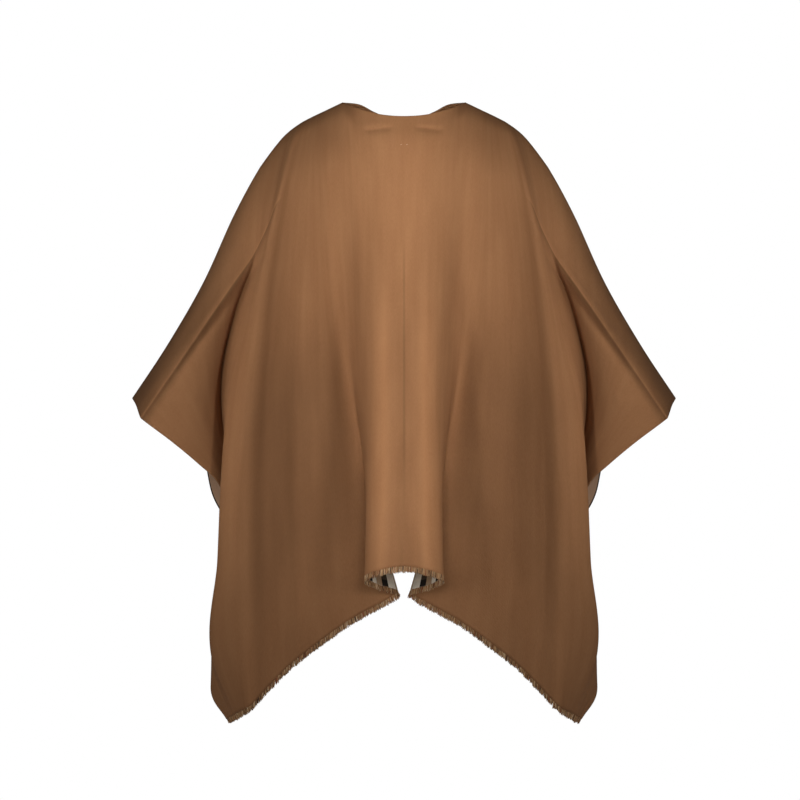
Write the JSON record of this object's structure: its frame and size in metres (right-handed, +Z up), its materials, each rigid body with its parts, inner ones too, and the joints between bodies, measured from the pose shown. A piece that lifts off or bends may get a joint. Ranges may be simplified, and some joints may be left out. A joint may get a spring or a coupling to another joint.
{
  "type": "wool cape",
  "caption": "Open-front blanket cape of soft wool with short fringed hems, worn over both shoulders, with wide sleeves held by a thread bar under each arm.",
  "frame": {"origin": "midway between the two neck points, where the shoulder line meets the neck edge, at their height", "axes": "+Z up, the back towards -Y, the open front towards +Y, and X = 0 the plane of mirror symmetry, with the wearer's left at -X"},
  "size_m": [0.8956, 0.3082, 1.022],
  "materials": {
    "camel_wool": "soft brushed twill, camel outside and checked inside",
    "wool_threads": "loose warp threads"
  },
  "bodies": {
    "root": {"back_panel": "camel_wool", "front_left": "camel_wool", "front_right": "camel_wool", "fringe_back": "wool_threads", "fringe_front_left": "wool_threads", "fringe_front_right": "wool_threads", "side_tack_left": "wool_threads", "side_tack_right": "wool_threads"}
  },
  "joints": []
}
